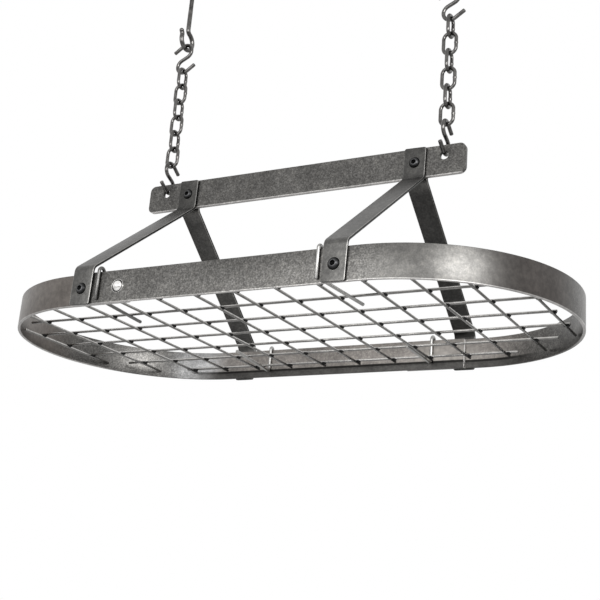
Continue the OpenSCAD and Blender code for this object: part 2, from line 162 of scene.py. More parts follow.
class RackSizes(bpy.types.PropertyGroup):
    """Sizes that a user would change, in metres and degrees"""

    edge: length("Edge radius", "Softening of the flat bar's edges", 0.5)
    strap_edge: length("Strap edge", "Rounding of the straps' rolled edges", 1.1)
    strap_thickness: length("Strap thickness", "Thickness of the bent straps", 3.2)
    strap_bend: length("Strap bend", "Inside radius of the straps' bends", 8)
    strap_low: length("Strap tab", "Height of a strap's lower bend above the oval's bottom edge", 43.5)
    strap_lean: bpy.props.FloatProperty(
        name="Strap lean", description="Lean of the front straps to the left, in degrees",
        default=1.3)
    grid_wire: length("Grid wire", "Diameter of the grid wires", 3.2)
    grid_pitch: length("Grid pitch", "Spacing of the grid wires", 50.8)
    support_rod: length("Support rod", "Diameter of the bent support rods", 4)
    link_wire: length("Link wire", "Diameter of the chain link wire", 4.5)
    hook_wire: length("S-hook wire", "Diameter of the S-hook wire", 5)
    hook_radius: length("S-hook bend", "Centre-line radius of an S-hook's bends", 10.15)


class RackColours(bpy.types.PropertyGroup):
    """Colours of the rack's steels, and of the highlights and shade painted on them"""

    steel: tint("Hammered steel", "Colour of the oval and the top bar", 0.118, 0.115, 0.11)
    left_end: tint("Left end", "Smooth brown steel of the left round end", 0.142, 0.129, 0.119)
    back: tint("Back inside", "Brown steel inside the straight back", 0.191, 0.178, 0.166)
    lap: tint("Back lap", "Smooth brown steel of the back right lap", 0.225, 0.211, 0.196)
    # Right end: partly the end's own darker brown steel, partly painted shade
    right_end: tint("Right end", "Smooth dark steel of the right round end", 0.08, 0.073, 0.069)
    # Back left curve: a painted highlight inside the back left curve
    bright: tint("Back left curve", "Brighter steel inside the back left curve", 0.25, 0.25, 0.25)
    # Rubbed rims: painted highlights along the lower edges and on the inner lap's end
    rim: tint("Rubbed rims", "Bare steel along the lower edges", 0.4, 0.39, 0.38)
    strap: tint("Strap steel", "Colour of the bent straps", 0.11, 0.108, 0.104)
    wire: tint("Grid wire", "Colour of the grid", 0.44, 0.43, 0.415)
    rod: tint("Support rods", "Colour of the bent rods under the grid", 0.34, 0.335, 0.325)
    chain: tint("Chain", "Colour of the chains and hooks", 0.118, 0.115, 0.111)
    # Weld spots: near black, partly burnt steel and partly painted shade where the wires cross
    weld: tint("Weld spots", "Burnt steel at the grid's weld spots", 0.01, 0.01, 0.01)
    screw: tint("Screws", "Colour of the black screws", 0.045, 0.045, 0.046)
    nickel: tint("Joint bolts", "Colour of the bright joint bolts", 0.86, 0.85, 0.83)


def sizes():
    """The scene's rack sizes."""
    return bpy.context.scene.rack_sizes


def colours():
    """The scene's rack colours."""
    return bpy.context.scene.rack_colours


# ------------------ plane paths

X, Y, Z = np.eye(3)
XZ, YZ = (X, Z), (Y, Z)


def route(*legs):
    """A plane path of arcs (centre, radius, from angle, to angle, step) and lines (start, end).

    An arc's points are centre + radius * (cosine, sine) of evenly spaced angles, about
    step degrees apart, or 6 where no step is given.
    """
    out = []
    for leg in legs:
        if len(leg) > 2:
            (cx, cy), r, a0, a1 = leg[:4]
            step = leg[4] if len(leg) > 4 else 6
            a = np.radians(np.linspace(a0, a1, max(int(abs(a1 - a0) / step), 2) + 1))
            out.append(np.stack([cx + r * np.cos(a), cy + r * np.sin(a)], -1))
        else:
            out.append(np.array(leg, float))
    line = np.concatenate(out)
    keep = np.r_[True, np.linalg.norm(np.diff(line, axis=0), axis=1) > 1e-7]
    return line[keep]


def refine(line, reach):
    """Adds points at set shares of reach from both ends, for rounded corners to follow."""
    d = np.array([0.1, 0.25, 0.45, 0.7, 1.0]) * reach
    t0 = (line[1] - line[0]) / np.linalg.norm(line[1] - line[0])
    t1 = (line[-2] - line[-1]) / np.linalg.norm(line[-2] - line[-1])
    return np.concatenate([line[:1], line[0] + d[:, None] * t0, line[1:-1],
                           line[-1] + d[::-1, None] * t1, line[-1:]])


def directions(line, closed=False):
    """Unit tangents of a plane path, from each point's neighbours, and their left normals."""
    d = np.roll(line, -1, 0) - np.roll(line, 1, 0) if closed else np.gradient(line, axis=0)
    t = d / np.linalg.norm(d, axis=1, keepdims=True)
    return t, np.stack([-t[:, 1], t[:, 0]], -1)


def place(line, plane, origin):
    """Plane coordinates (a, b) as a point origin + a * plane[0] + b * plane[1]."""
    return np.asarray(origin) + line[:, :1] * plane[0] + line[:, 1:] * plane[1]


# ------------------ profiles


def ring(radius, count=WIRE_SIDES):
    """A circle's points, (cosine, sine) times radius."""
    a = np.arange(count) * 2 * np.pi / count
    return radius * np.stack([np.cos(a), np.sin(a)], -1)


def rounded_bar(thick, width, edge, corner=4):
    """Rectangle thick by width whose corners are quarter circles of radius edge."""
    a = np.radians(np.linspace(0, 90, corner))
    arc = np.stack([np.cos(a), np.sin(a)], -1) * edge
    inner = np.array([thick / 2 - edge, width / 2 - edge])
    return np.concatenate([arc + inner,
                           arc[::-1] * (-1, 1) + inner * (-1, 1),
                           -arc - inner,
                           arc[::-1] * (1, -1) + inner * (1, -1)])


def tab_profile(line, thick, width, edge, corner):
    """Bar profile per path point, with its corners rounded at both ends.

    At distance d from an end, each side is cut by corner minus the square root of
    corner squared minus (corner - d) squared, which is a quarter circle.
    """
    run = np.r_[0, np.cumsum(np.linalg.norm(np.diff(line, axis=0), axis=1))]
    near = np.minimum(np.minimum(run, run[-1] - run), corner)
    cut = corner - np.sqrt(corner ** 2 - (corner - near) ** 2)
    bar = rounded_bar(thick, width, edge)
    wide = 1 - 2 * cut / width
    return np.stack([np.broadcast_to(bar[:, 0], (len(line), len(bar))),
                     bar[:, 1] * wide[:, None]], -1)


# ------------------ mesh building


def grid_faces(n, m, wrap_rows):
    """Quads between the points i * m + j of an n by m grid whose rows close on themselves.

    wrap_rows joins the last row to the first one too.
    """
    i = np.arange(n if wrap_rows else n - 1)[:, None]
    j = np.arange(m)[None, :]
    i2, j2 = (i + 1) % n, (j + 1) % m
    return np.stack([i * m + j, i * m + j2, i2 * m + j2, i2 * m + j], -1).reshape(-1, 4)


def sweep(path, normal, across, profile, closed=False):
    """Carries a profile along a path: point + u * normal + v * across.

    path and normal are (n, 3), across is one vector, profile is (m, 2) or (n, m, 2).
    An open sweep is closed at each end by a point in its middle.
    """
    profile = np.broadcast_to(profile, (len(path),) + profile.shape[-2:])
    points = (path[:, None] + profile[..., :1] * normal[:, None]
              + profile[..., 1:] * np.asarray(across))
    n, m = points.shape[:2]
    quads = grid_faces(n, m, closed)
    flat = points.reshape(-1, 3)
    if closed:
        return flat, quads, np.zeros((0, 3), int)
    ends = np.stack([points[0].mean(0), points[-1].mean(0)])
    j = np.arange(m)
    k = (j + 1) % m
    first = np.stack([np.full(m, n * m), k, j], -1)
    last = np.stack([np.full(m, n * m + 1), (n - 1) * m + j, (n - 1) * m + k], -1)
    return np.concatenate([flat, ends]), quads, np.concatenate([first, last])


def sweep_in_plane(line, normals, plane, origin, profile, closed=False):
    """Sweep along a plane path: u follows the path's normals, v stands across the plane."""
    normal = normals[:, :1] * plane[0] + normals[:, 1:] * plane[1]
    return sweep(place(line, plane, origin), normal, np.cross(*plane), profile, closed)


def wire(line, plane, origin, radius, tip, sides=WIRE_SIDES):
    """Round wire along a plane path, its ends closed by half ellipses.

    At angle a of an end, a ring lies tip * radius * sine a past the path's end and its
    radius is radius * cosine a.
    """
    tangents, normals = directions(line)
    a = np.radians(np.array([84, 66, 45, 22]))
    past = tip * radius * np.sin(a)[:, None]
    full = np.concatenate([line[:1] - tangents[:1] * past, line,
                           line[-1:] + tangents[-1:] * past[::-1]])
    normals = np.concatenate([np.repeat(normals[:1], len(a), 0), normals,
                              np.repeat(normals[-1:], len(a), 0)])
    shrink = np.r_[np.cos(a), np.ones(len(line)), np.cos(a[::-1])]
    return sweep_in_plane(full, normals, plane, origin,
                          shrink[:, None, None] * ring(radius, sides)[None])


def blob(centre, radii, n=6, m=10):
    """Ellipsoid: centre + radii * (cos a cos b, cos a sin b, sin a), poles as end points."""
    a = np.radians(np.linspace(-75, 75, n))
    line = np.zeros((n, 3)) + centre + np.outer(np.sin(a), Z) * radii[2]
    b = np.arange(m) * 2 * np.pi / m
    profile = np.stack([np.cos(a)[:, None] * np.cos(b) * radii[0],
                        np.cos(a)[:, None] * np.sin(b) * radii[1]], -1)
    return sweep(line, np.repeat(X[None], n, 0), Y, profile)


def turned_piece(at, axis, rows):
    """Rings carried along an axis: rows of (radius, height, corners).

    corners 0 is a circle, 6 a hexagon of that corner radius: its radius at an angle is
    the corner radius * cosine 30 / cosine of the angle from the nearest flat's middle.
    """
    a = np.arange(TURNED_SIDES) * 2 * np.pi / TURNED_SIDES
    hexagon = np.cos(np.pi / 6) / np.cos((a + np.pi / 6) % (np.pi / 3) - np.pi / 6)
    circle = np.ones(TURNED_SIDES)
    radii = np.array([radius * (hexagon if corners else circle) for radius, _, corners in rows])
    heights = np.array([height for _, height, _ in rows])
    line = np.asarray(at) + heights[:, None] * axis
    profile = np.stack([np.cos(a), np.sin(a)], -1) * radii[:, :, None]
    return sweep(line, np.repeat(X[None], len(rows), 0), np.cross(axis, X), profile)


def make_object(name, shells, material, body, nodes=(), painted_light=None):
    """One object from (points, quads, triangles) shells; it rides on body and stands for nodes.

    The last argument, if given, holds painted light, one value per point: 0 painted shade, 0.5 plain,
    1 painted highlight.
    """
    points = np.concatenate([s[0] for s in shells])
    starts = np.cumsum([0] + [len(s[0]) for s in shells[:-1]])
    faces = []
    for (_, quads, tris), start in zip(shells, starts):
        faces += (quads + start).tolist() + (tris + start).tolist()
    mesh = bpy.data.meshes.new(name)
    mesh.from_pydata(points.tolist(), [], faces)
    mesh.validate()
    mesh.polygons.foreach_set("use_smooth", np.ones(len(mesh.polygons), bool))
    mesh.materials.append(material)
    if painted_light is not None:
        layer = mesh.attributes.new("painted_light", "FLOAT", "POINT")
        layer.data.foreach_set("value", np.asarray(painted_light, np.float32))
    obj = bpy.data.objects.new(name, mesh)
    bpy.context.scene.collection.objects.link(obj)
    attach(obj, body)
    if nodes:
        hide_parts(*nodes)
    return obj


# ------------------ shader node helpers

WHITE = (1.0, 1.0, 1.0)
PLAIN_LEVEL = 0.25  # ramp value where no light is painted, so that painted highlights can be brighter


def grey(value):
    """A grey of that value."""
    return (value,) * 3


def scaled(colour, k):
    """A colour times k, at most 1."""
    return tuple(min(c * k, 1) for c in colour)


def new_material(name, colour, metallic, roughness):
    """A plain principled material, its node tree and its shader."""
    mat = bpy.data.materials.new(name)
    mat.use_nodes = True
    tree = mat.node_tree
    shader = tree.nodes["Principled BSDF"]
    shader.inputs["Base Color"].default_value = (*colour, 1)
    shader.inputs["Metallic"].default_value = metallic
    shader.inputs["Roughness"].default_value = roughness
    return mat, tree, shader


def node(tree, kind, **values):
    """A shader node with its properties or input values set by name."""
    n = tree.nodes.new(kind)
    for key, value in values.items():
        if key in n.inputs:
            n.inputs[key].default_value = value
        else:
            setattr(n, key, value)
    return n


def object_coordinates(tree):
    """The piece's Object coordinates."""
    return tree.nodes.new("ShaderNodeTexCoord").outputs["Object"]


def axes_of(tree, coords):
    """The x, y and z sockets of coordinates."""
    axes = tree.nodes.new("ShaderNodeSeparateXYZ")
    tree.links.new(coords, axes.inputs[0])
    return axes.outputs


def noise(tree, coords, scale, detail=3.0, rough=0.5):
    """Noise on Object coordinates; scale is in cells per metre."""
    n = node(tree, "ShaderNodeTexNoise", Scale=scale, Detail=detail, Roughness=rough)
    tree.links.new(coords, n.inputs["Vector"])
    return n.outputs["Fac"]


def ramp(tree, factor, stops):
    """A colour ramp with (position, colour) stops."""
    n = tree.nodes.new("ShaderNodeValToRGB")
    elements = n.color_ramp.elements
    for element, (position, colour) in zip(elements, (stops[0], stops[-1])):
        element.position = position
        element.color = (*colour, 1)
    for position, colour in stops[1:-1]:
        elements.new(position).color = (*colour, 1)
    tree.links.new(factor, n.inputs["Fac"])
    return n.outputs["Color"]


def feed(tree, socket, value):
    """Links a socket, or sets a plain value, on an input socket."""
    if isinstance(value, bpy.types.NodeSocket):
        tree.links.new(value, socket)
    else:
        socket.default_value = value


def blend(tree, factor, a, b, kind="MIX"):
    """Colours a and b mixed; factor, a and b are sockets or plain values."""
    mix = node(tree, "ShaderNodeMix", data_type="RGBA", blend_type=kind)
    for name, value in (("Factor", factor), ("A", a), ("B", b)):
        wanted = "VALUE" if name == "Factor" else "RGBA"
        socket = next(i for i in mix.inputs if i.name == name and i.type == wanted)
        plain_colour = wanted == "RGBA" and not isinstance(value, bpy.types.NodeSocket)
        feed(tree, socket, (*value, 1) if plain_colour else value)
    return next(o for o in mix.outputs if o.type == "RGBA")


def combine(tree, a, b, kind="ADD"):
    """The sum of a and b, or another operation on them, clamped to 0 to 1."""
    n = node(tree, "ShaderNodeMath", operation=kind)
    n.use_clamp = True
    feed(tree, n.inputs[0], a)
    feed(tree, n.inputs[1], b)
    return n.outputs[0]


def all_of(tree, *factors):
    """The product of factors: 1 only where each of them is 1."""
    out = factors[0]
    for factor in factors[1:]:
        out = combine(tree, out, factor, "MULTIPLY")
    return out


def fade(tree, value, none, full):
    """A smooth step from 0 where value is none to 1 where it is full; none may be the larger."""
    n = node(tree, "ShaderNodeMapRange", interpolation_type="SMOOTHSTEP")
    n.inputs["From Min"].default_value = none
    n.inputs["From Max"].default_value = full
    tree.links.new(value, n.inputs["Value"])
    return n.outputs["Result"]


# ------------------ colour zones of the steel


def span(*ends, past=0.0):
    """The places of a range, given in millimetres past a place in metres.

    Two of them are where it is none and full, four are start, full, last and end.
    """
    return past + np.array(ends) * MM


INSIDE_BACK_Y = span(80, 120)
FACE_STEP = span(1, 2)  # inwards from an outer face, to tell it from the inner one
SEAM = span(0, 0.1, past=INNER_LAP_END)  # change from the left half to the right one


def within(tree, value, places):
    """How far a value is in a span, 0 to 1."""
    none, full, *fall = places
    rise = fade(tree, value, none, full)
    return all_of(tree, rise, fade(tree, value, *fall[::-1])) if fall else rise


def inside_back(tree, x, y):
    """The oval's inner face behind its long axis.

    A point's distance from the line between the round ends' centres tells the faces
    apart: the square root of (|x| - centre, if above 0) squared plus y squared.
    """
    along = combine(tree, combine(tree, x, 0.0, "ABSOLUTE"), X_END - R_OUT, "SUBTRACT")
    squares = combine(tree, all_of(tree, along, along), all_of(tree, y, y))
    away = combine(tree, squares, 0.5, "POWER")
    left_half = all_of(tree, fade(tree, x, *SEAM[::-1]), fade(tree, away, *(R_IN - FACE_STEP)))
    right_half = all_of(tree, fade(tree, x, *SEAM), fade(tree, away, *(R_OUT - FACE_STEP)))
    return all_of(tree, combine(tree, left_half, right_half), fade(tree, y, *INSIDE_BACK_Y))


def zone(x=(), y=(), z=(), inside=False):
    """A zone: a function of the tree and the x, y and z sockets that gives 0 to 1.

    It is 1 where the piece lies in every span given, and inside keeps it to the inner
    face of the oval's back.
    """
    def where(tree, *axes):
        """The product of how far the piece is in each span."""
        factors = [within(tree, axis, places)
                   for axis, places in zip(axes, (x, y, z)) if len(places)]
        if inside:
            factors.append(inside_back(tree, *axes[:2]))
        return all_of(tree, *factors)

    return where


BELOW_BAR = span(-400, -420)
# The fronts of the round ends, and the smoother stretch right of the straps
LEFT_END = zone(x=span(-155, -185), y=span(50, -20), z=BELOW_BAR)
# The right end's darker colour: partly its own brown steel, partly painted shade
RIGHT_END = zone(x=span(290, 335), y=span(-10, -60))
FRONT_CURVE = zone(x=span(180, 230), y=span(0, -50), z=BELOW_BAR)
# The back's inner face: a painted highlight in its left curve, its brown straight stretch and its
# right lap
BACK_LEFT_HIGHLIGHT = zone(x=span(-285, -250, -220, -180), inside=True)
BACK_STRAIGHT = zone(x=span(-235, -205, 200, 280), inside=True)
BACK_LAP = zone(x=span(75, 120, 165, 190), inside=True)
# Painted shade: the darker strip below the grid there, and a painted shadow line that the grid leaves
SHADE_BELOW_GRID = zone(x=span(-250, -200, 220, 300), z=span(10.5, 9.5, past=RACK_Z), inside=True)
GRID_SHADOW_LINE = zone(x=span(-230, -190, 210, 270), z=span(7, 8, 10, 11, past=RACK_Z), inside=True)
# Painted highlights along the lower edges of the oval's front and of the top bar, and on the inner
# lap's end
OVAL_RIM_HIGHLIGHT = zone(y=span(120, 60), z=span(1.6, 0.6, past=RACK_Z))
BAR_RIM_HIGHLIGHT = zone(z=span(-20, -10, 0.6, 1.6, past=BAR_LOW))
LAP_END_HIGHLIGHT = zone(x=span(-1.4, -0.6, 0.2, 0.6, past=INNER_LAP_END), y=span(100, 120))
# Painted shade over the top bar and the tabs of the straps on it
SHADE_ABOVE_BAR_EDGE = zone(z=span(-8, 0, past=BAR_LOW))
# Painted shade: darker straps at the back, the darkest one at the back right, and the duller front
# left rod
SHADED_BACK_STRAPS = zone(y=span(0, 20))
SHADED_RIGHT_BACK_STRAP = zone(x=span(0, 20), y=span(0, 20))
SHADED_FRONT_LEFT_ROD = zone(x=span(0, -20), y=span(0, -20))


def rim_highlights(tree, *axes):
    """All the painted edge highlights in one zone."""
    rims = combine(tree, OVAL_RIM_HIGHLIGHT(tree, *axes), BAR_RIM_HIGHLIGHT(tree, *axes))
    return combine(tree, rims, LAP_END_HIGHLIGHT(tree, *axes))


# ------------------ steels

# Hammering: noise level and how much lighter it is there, per unit of contrast
SPECKS = ((0.34, -0.7), (0.5, 0.0), (0.6, 0.6), (0.72, 1.6))
# Patches a few specks wide, the light ones a little warm, and wide clouds over them
PATCHES = ((0.33, grey(0.86)), (0.5, WHITE), (0.67, (1.17, 1.165, 1.15)))
CLOUDS = ((0.35, grey(0.88)), (0.65, grey(1.12)))
PATCH_GRAIN, CLOUD_GRAIN, BUMP_GRAIN = 0.3, 0.05, 0.7  # against the specks' grain
HAMMER_ROUGH = 0.6  # share of fine detail in the hammering's noise
BUMP_DEPTH = 0.6 * MM
CALM_BUMP = 0.8  # share of the bump that a calm zone loses
SMOOTH_GRAIN = 160.0  # clouds of the smooth steels, per metre


def with_painted_light(tree, colour, dark, light):
    """A colour times the painted light at each point: dark at 0, plain at 0.5 and light at 1.

    The ramp holds a quarter of each factor, because light may be above plain, and the
    last multiplication brings it back.
    """
    painted_light = node(tree, "ShaderNodeAttribute", attribute_name="painted_light").outputs["Fac"]
    level = ramp(tree, painted_light, [(0.0, grey(dark)), (0.5, grey(PLAIN_LEVEL)), (1.0, grey(light))])
    shaded = blend(tree, 1.0, colour, level, "MULTIPLY")
    return blend(tree, 1.0, shaded, grey(1 / PLAIN_LEVEL), "MULTIPLY")


def painted(tree, coords, colour, zones):
    """The base colour with each zone's colour over it, and how calm each place is.

    Each of zones is (zone, colour, calm): calm is how far the hammering is smoothed there.
    """
    axes = axes_of(tree, coords)
    calmness = 0.0
    for where, paint, calm in zones:
        factor = where(tree, *axes)
        colour = blend(tree, factor, colour, paint)
        calmness = combine(tree, calmness, all_of(tree, factor, calm))
    return colour, calmness


def hammered(name, colour, grain, depth, roughness, contrast, zones, edges=None):
    """Hammered steel: fine light specks over patches and clouds, with a shallow bump.

    grain is in specks per metre, zones are as in painted, and edges are the dark and
    light levels of the painted light at each point.
    """
    mat, tree, shader = new_material(name, colour, 1.0, roughness)
    coords = object_coordinates(tree)
    specks = ramp(tree, noise(tree, coords, grain, 2.0, HAMMER_ROUGH),
                  [(level, grey(1 + gain * contrast)) for level, gain in SPECKS])
    patches = ramp(tree, noise(tree, coords, grain * PATCH_GRAIN, 2.0, HAMMER_ROUGH), PATCHES)
    clouds = ramp(tree, noise(tree, coords, grain * CLOUD_GRAIN, 2.0), CLOUDS)
    mottling = blend(tree, 1.0, patches, clouds, "MULTIPLY")
    paint, calmness = painted(tree, coords, colour, zones)
    grainy = blend(tree, 1.0, blend(tree, calmness, specks, WHITE), mottling, "MULTIPLY")
    out = blend(tree, 1.0, grainy, paint, "MULTIPLY")
    if edges:
        out = with_painted_light(tree, out, *edges)
    tree.links.new(out, shader.inputs["Base Color"])
    bump = node(tree, "ShaderNodeBump", Distance=BUMP_DEPTH)
    lost = all_of(tree, calmness, depth * CALM_BUMP)
    feed(tree, bump.inputs["Strength"], combine(tree, depth, lost, "SUBTRACT"))
    feed(tree, bump.inputs["Height"], noise(tree, coords, grain * BUMP_GRAIN, 3.0, HAMMER_ROUGH))
    tree.links.new(bump.outputs["Normal"], shader.inputs["Normal"])
    return mat


def smooth_steel(name, colour, roughness, mottle, metallic=1.0, edges=None, painted_shade=None):
    """Even steel with faint clouds, mottle lighter and darker.

    edges are the dark and light levels of the painted light at each point, and the last
    argument is a zone and how dark the painted shade over that zone is.
    """
    mat, tree, shader = new_material(name, colour, metallic, roughness)
    coords = object_coordinates(tree)
    out = ramp(tree, noise(tree, coords, SMOOTH_GRAIN),
               [(0.3, scaled(colour, 1 - mottle)), (0.7, scaled(colour, 1 + mottle))])
    if painted_shade:
        where, darkness = painted_shade
        darker = blend(tree, 1.0, out, grey(darkness), "MULTIPLY")
        out = blend(tree, where(tree, *axes_of(tree, coords)), out, darker)
    if edges:
        out = with_painted_light(tree, out, *edges)
    tree.links.new(out, shader.inputs["Base Color"])
    return mat


def oval_steel():
    """The hammered pewter of the oval and the top bar, with its stained places and painted highlights
    and shade.
    """
    c = colours()
    return hammered(
        "hammered_steel", c.steel, grain=600, depth=0.14, roughness=0.37, contrast=0.52,
        zones=[(LEFT_END, c.left_end, 1.0),
               (FRONT_CURVE, c.steel, 0.7),
               (BACK_STRAIGHT, c.back, 0.5),
               (BACK_LAP, c.lap, 0.7),
               (RIGHT_END, c.right_end, 0.6),
               (BACK_LEFT_HIGHLIGHT, c.bright, 0.4),
               (SHADE_BELOW_GRID, scaled(c.steel, 0.68), 0.3),
               (GRID_SHADOW_LINE, scaled(c.steel, 0.2), 0.5),
               (SHADE_ABOVE_BAR_EDGE, scaled(c.steel, 0.8), 0.0),
               (rim_highlights, c.rim, 0.5)])


def strap_steel():
    """The straps' steel: painted shade on the bar and at the back, painted highlights and shade on its
    edges.
    """
    strap = colours().strap
    return hammered(
        "strap_steel", strap, grain=420, depth=0.25, roughness=0.4, contrast=0.2,
        zones=[(SHADE_ABOVE_BAR_EDGE, scaled(strap, 0.6), 0.0),
               (SHADED_BACK_STRAPS, scaled(strap, 0.64), 0.0),
               (SHADED_RIGHT_BACK_STRAP, scaled(strap, 0.38), 0.0)],
        edges=(0.04, 0.9))


def weld_steel():
    """Almost black steel that reflects next to nothing: partly burnt weld, partly painted shade where
    the wires cross.
    """
    mat = smooth_steel("weld_steel", colours().weld, roughness=0.6, mottle=0.3, metallic=0.0)
    shader = mat.node_tree.nodes["Principled BSDF"]
    shader.inputs["Specular IOR Level"].default_value = 0.1
    return mat


def chain_steel():
    """The chains' steel, made once and shared."""
    return (bpy.data.materials.get("chain_pewter")
            or smooth_steel("chain_pewter", colours().chain, roughness=0.2, mottle=0.35))


# ------------------ operators


class RackOperator:
    """What all the rack's operators share."""

    bl_options = {"REGISTER", "UNDO"}


def half_oval(side):
    """Centre line of one half in plan: front lap, half circle round the end, back lap.

    It runs half the bar's thickness inside the half's outer face.
    """
    if side == "left":
        face, centre, last_angle = R_IN, X_START + R_IN, -270
        front, back = LAP_FRONT, INNER_LAP_END
    else:
        face, centre, last_angle = R_OUT, X_END - R_OUT, 90
        front, back = low("frame_right_half")[0], LAP_OUTER
    middle = face - BAND_T / 2
    return route(((front, -middle), (centre, -middle)),
                 ((centre, 0), middle, -90, last_angle, 2),
                 ((centre, middle), (back, middle)))


class POTRACK_OT_frame(RackOperator, bpy.types.Operator):
    """Sweeps the flat bar of both halves round the oval"""

    bl_idname = "potrack.frame"
    bl_label = "Oval Frame"

    def execute(self, context):
        steel = oval_steel()
        for side in SIDES:
            name = f"frame_{side}_half"
            line = refine(half_oval(side), LAP_CORNER)
            _, normals = directions(line)
            profile = tab_profile(line, BAND_T, BAND_H, sizes().edge, LAP_CORNER)
            shell = sweep_in_plane(line, normals, (X, Y), (0, 0, BAND_MID_Z), profile)
            make_object(f"{name}_steel", [shell], steel, "rack", [name])
        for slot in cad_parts["top_bar"].material_slots:
            slot.material = steel
        return {"FINISHED"}


def strap_line(foot, reach):
    """Side view of a strap: distance from the rack's middle and height above the ceiling.

    foot is its lower end, reach its inner face's distance from the middle at the oval.
    It goes up the oval, slants inwards at an angle whose tangent is rise over run
    between its two corners, and goes up the bar. Each bend's centre lies radius * tan
    (half the turn) from its corner.
    """
    s = sizes()
    thick, bend = s.strap_thickness, s.strap_bend
    low_corner = RACK_Z + s.strap_low
    high_corner = BAR_LOW - STRAP_CLEARANCE
    bar_face = BAR_T / 2
    slant = np.degrees(np.arctan2(high_corner - low_corner, reach - bar_face))
    offset = np.tan(np.radians(90 - slant) / 2)
    low_centre = (reach - bend, low_corner - bend * offset)
    high_centre = (bar_face + thick + bend, high_corner + (bend + thick) * offset)
    middle = bend + thick / 2
    foot_x, head_x = reach + thick / 2, bar_face + thick / 2
    return route(((foot_x, foot), (foot_x, low_centre[1])),
                 (low_centre, middle, 0, 90 - slant),
                 (high_centre, middle, 270 - slant, 180),
                 ((head_x, high_centre[1]), (head_x, BAR_TOP)))


def leaned(points, degrees):
    """Points turned about the y axis, so that what hangs below the origin moves left.

    x becomes x * cosine + z * sine, and z becomes z * cosine - x * sine.
    """
    a = np.radians(degrees)
    return points @ np.array([[np.cos(a), 0, -np.sin(a)], [0, 1, 0], [np.sin(a), 0, np.cos(a)]])


class POTRACK_OT_straps(RackOperator, bpy.types.Operator):
    """Bends the four straps from the oval up to the top bar"""

    bl_idname = "potrack.straps"
    bl_label = "Straps"

    def execute(self, context):
        steel = strap_steel()
        s = sizes()
        for row, facing in FACES.items():
            for side, sign in SIDES.items():
                name = f"strap_{row}_{side}"
                front = facing < 0
                outer = -low(name)[1] if front else high(name)[1]
                foot = RACK_Z if front else low(name)[2]
                line = refine(strap_line(foot, outer - s.strap_thickness), STRAP_CORNER)
                _, normals = directions(line)
                profile = tab_profile(line, s.strap_thickness, STRAP_W, s.strap_edge,
                                      STRAP_CORNER)
                points, quads, tris = sweep_in_plane(
                    line, normals, (Y * facing, Z), (0, 0, -BAR_BOLT_Z), profile)
                points = leaned(points, s.strap_lean if front else 0.0)
                points = points + (sign * STRAP_X, 0, BAR_BOLT_Z)
                # Painted highlights and shade round each strap's edges, and painted shade on its end
                # caps
                painted_light = np.r_[np.tile(EDGE_PAINTED_LIGHT, len(line)), [STRAP_END_SHADE] * 2]
                make_object(f"{name}_steel", [(points, quads, tris)], steel, "rack",
                            [name], painted_light)
        return {"FINISHED"}


def cross_half(x, r):
    """Half-length of the cross wire at x: the overhang, or what the left end's curve leaves.

    On the curve it is the square root of radius squared minus dx squared, less the gap.
    """
    dx = max(abs(x) + r + X_START + R_IN, 0)
    full = 3 * sizes().grid_pitch + GRID_OVERHANG
    return min(full, np.sqrt((R_IN - BAND_T) ** 2 - dx ** 2) - GRID_GAP)


def grid_wire(half, direction, middle, radius):
    """A straight grid wire that reaches half to both sides of its middle."""
    return wire(np.array([[-half, 0], [half, 0]]), (direction, Z), middle, radius, tip=0.25,
                sides=GRID_SIDES)


class POTRACK_OT_grid(RackOperator, bpy.types.Operator):
    """Lays the welded wire grid and its weld spots"""

    bl_idname = "potrack.grid"
    bl_label = "Wire Grid"

    def execute(self, context):
        s = sizes()
        r = s.grid_wire / 2
        row_z, cross_z = high("grid")[2] - r, low("grid")[2] + r
        rows = [(j * s.grid_pitch, ROW_HALF[abs(j)]) for j in range(-3, 4)]
        cross_x = (np.arange(GRID_CROSS_WIRES) - (GRID_CROSS_WIRES - 1) / 2) * s.grid_pitch
        cross = [(x, cross_half(x, r)) for x in cross_x]
        shells = [grid_wire(half, X, (0, y, row_z), r) for y, half in rows]
        shells += [grid_wire(half, Y, (x, 0, cross_z), r) for x, half in cross]
        # Painted shade on each wire's underside and a faint painted highlight on its top
        height = ring(1, GRID_SIDES)[:, 0]
        around = np.where(height > TOP_ABOVE, TOP_HIGHLIGHT, SIDE_TONE)
        around = np.where(height < UNDER_BELOW, UNDER_SHADE, around)
        painted_light = [np.r_[np.tile(around, len(shell[0]) // GRID_SIDES), [UNDER_SHADE] * 2]
                for shell in shells]
        steel = smooth_steel("grid_steel", colours().wire, roughness=0.2, mottle=0.2,
                             edges=(0.05, 0.5))
        make_object("grid_wires", shells, steel, "rack", ["grid"],
                    np.concatenate(painted_light))
        spots = [blob((x, y, (row_z + cross_z) / 2), WELD_SPOT * r)
                 for x, half_y in cross for y, half_x in rows
                 if abs(y) < half_y and abs(x) < half_x]
        make_object("grid_welds", spots, weld_steel(), "rack")
        return {"FINISHED"}


